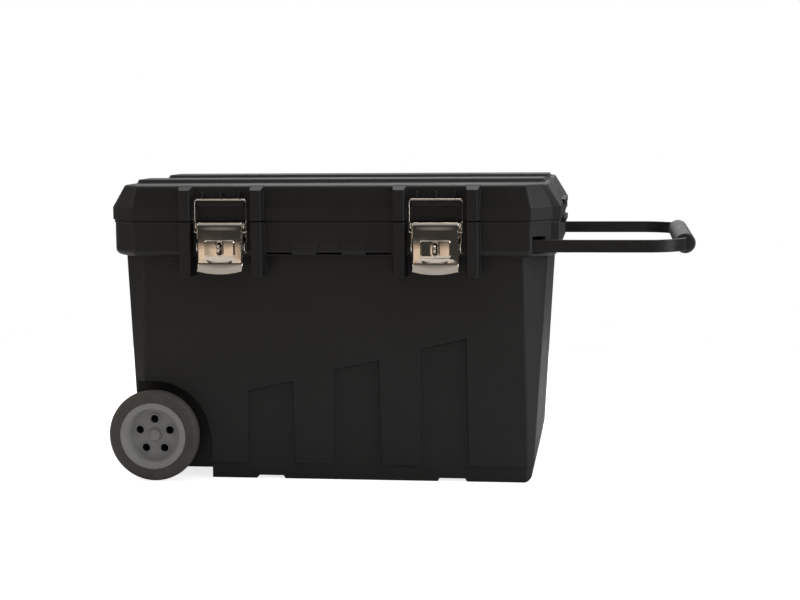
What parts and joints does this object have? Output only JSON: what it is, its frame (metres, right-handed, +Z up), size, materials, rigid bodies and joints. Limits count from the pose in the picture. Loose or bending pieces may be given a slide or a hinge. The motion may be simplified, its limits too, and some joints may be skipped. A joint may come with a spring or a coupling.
{
  "type": "rolling tool chest",
  "caption": "Black moulded job chest with hinged lid, draw latches, wheels at one end, a sliding pull handle at the other and a tote tray inside.",
  "frame": {"origin": "on the floor under the middle of the tub, on the bottom face of the middle skid", "axes": "+X towards the pull handle, +Y towards the hinges, +Z up"},
  "size_m": [0.9413, 0.5255, 0.481],
  "materials": {
    "black_plastic": "textured black moulded plastic",
    "tray_plastic": "smooth black moulded plastic",
    "rail_plastic": "plain dark plastic",
    "bush_plastic": "slippery dark plastic",
    "black_bar": "satin black powder coat",
    "grip_plastic": "satin black plastic",
    "hub_plastic": "satin mid-grey moulded plastic",
    "tyre": "dull dark solid rubber",
    "latch_chrome": "bright nickel plate",
    "wire_chrome": "bright plated wire",
    "steel": "plain zinc-plated steel"
  },
  "bodies": {
    "chest": {"tub": "black_plastic", "hinge_pins": "steel", "latch_plate_left": "latch_chrome", "latch_plate_right": "latch_chrome", "latch_rivets": "steel", "lever_pins": "steel", "axle": "steel", "axle_washers": "steel", "axle_caps": "hub_plastic", "handle_bushes": "bush_plastic", "handle_rails": "rail_plastic", "rail_screws": "steel"},
    "lid": {"lid": "black_plastic"},
    "lever_left": {"lever_left": "latch_chrome"},
    "lever_right": {"lever_right": "latch_chrome"},
    "bail_left": {"bail_left": "wire_chrome"},
    "bail_right": {"bail_right": "wire_chrome"},
    "wheel_front": {"hub_front": "hub_plastic", "tyre_front": "tyre"},
    "wheel_rear": {"hub_rear": "hub_plastic", "tyre_rear": "tyre"},
    "handle": {"handle_bar": "black_bar", "handle_grip": "grip_plastic", "handle_stops": "bush_plastic", "stop_rivets": "steel"},
    "tray": {"tote_tray": "tray_plastic"}
  },
  "joints": [
    {"name": "lid_hinge", "type": "hinge", "parent": "chest", "child": "lid", "pos_m": [0, 0.249, 0.417], "axis": [-1, 0, 0], "range_deg": [0, 105]},
    {"name": "lever_left_hinge", "type": "hinge", "parent": "chest", "child": "lever_left", "pos_m": [-0.171, -0.25, 0.412], "axis": [-1, 0, 0], "range_deg": [0, 150]},
    {"name": "lever_right_hinge", "type": "hinge", "parent": "chest", "child": "lever_right", "pos_m": [0.171, -0.25, 0.412], "axis": [-1, 0, 0], "range_deg": [0, 150]},
    {"name": "bail_left_hinge", "type": "hinge", "parent": "lever_left", "child": "bail_left", "pos_m": [-0.171, -0.2495, 0.402], "axis": [-1, 0, 0], "range_deg": [-150, 0]},
    {"name": "bail_right_hinge", "type": "hinge", "parent": "lever_right", "child": "bail_right", "pos_m": [0.171, -0.2495, 0.402], "axis": [-1, 0, 0], "range_deg": [-150, 0]},
    {"name": "wheel_front_spin", "type": "hinge", "parent": "chest", "child": "wheel_front", "pos_m": [-0.2875, -0.236, 0.0738], "axis": [0, 1, 0], "continuous": true},
    {"name": "wheel_rear_spin", "type": "hinge", "parent": "chest", "child": "wheel_rear", "pos_m": [-0.2875, 0.236, 0.0738], "axis": [0, 1, 0], "continuous": true},
    {"name": "handle_slide", "type": "slide", "parent": "chest", "child": "handle", "axis": [1, 0, 0], "range_m": [-0.171, 0]},
    {"name": "tray_slide", "type": "slide", "parent": "chest", "child": "tray", "axis": [1, 0, 0], "range_m": [0, 0.31]}
  ],
  "couplings": [
    {"joint": "bail_left_hinge", "follows": "lever_left_hinge", "ratio": -1},
    {"joint": "bail_right_hinge", "follows": "lever_right_hinge", "ratio": -1}
  ]
}
